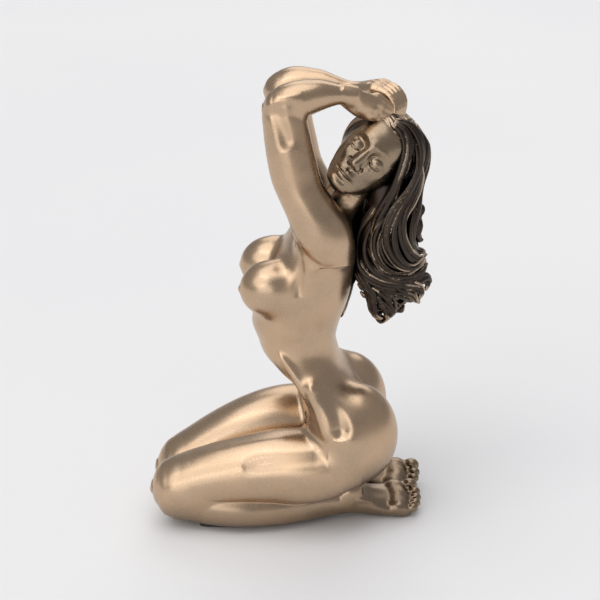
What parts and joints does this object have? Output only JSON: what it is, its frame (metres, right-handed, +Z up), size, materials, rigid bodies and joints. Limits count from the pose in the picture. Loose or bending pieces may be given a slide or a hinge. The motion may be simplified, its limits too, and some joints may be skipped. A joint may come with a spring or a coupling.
{
  "type": "kneeling figure statuette",
  "caption": "Cast bronze statuette of a kneeling nude with raised arms and long hair, doweled from hollow and solid castings.",
  "frame": {"origin": "on the resting plane, under the centre of the figure's bounding box", "axes": "+Z up, the figure faces -Y, +X is the figure's own left"},
  "size_m": [0.0605, 0.0994, 0.1653],
  "materials": {
    "bronze": "satin golden brown patina",
    "hair_bronze": "dark patina with rubbed ridges",
    "dowel_steel": "drawn",
    "sleeve_brass": "turned",
    "felt": "dense black felt"
  },
  "bodies": {
    "root": {"torso_casting": "bronze", "pelvis_casting": "bronze", "left_leg": "bronze", "right_leg": "bronze", "left_foot": "bronze", "right_foot": "bronze", "left_arm": "bronze", "right_arm": "bronze", "left_hand": "bronze", "right_hand": "bronze", "head": "bronze", "hair_cap": "hair_bronze", "hair_fall": "hair_bronze", "temple_lock": "hair_bronze", "outer_lock": "hair_bronze", "lower_curl": "hair_bronze", "nape_lock": "hair_bronze", "neck_dowel": "dowel_steel", "left_shoulder_dowel": "dowel_steel", "right_shoulder_dowel": "dowel_steel", "left_wrist_dowel": "dowel_steel", "right_wrist_dowel": "dowel_steel", "left_hip_dowel": "dowel_steel", "right_hip_dowel": "dowel_steel", "left_ankle_dowel": "dowel_steel", "right_ankle_dowel": "dowel_steel", "hair_peg": "dowel_steel", "fall_peg": "dowel_steel", "waist_sleeve": "sleeve_brass", "core_plug": "sleeve_brass", "left_shin_pad": "felt", "right_shin_pad": "felt", "left_foot_pad": "felt", "right_foot_pad": "felt"}
  },
  "joints": []
}
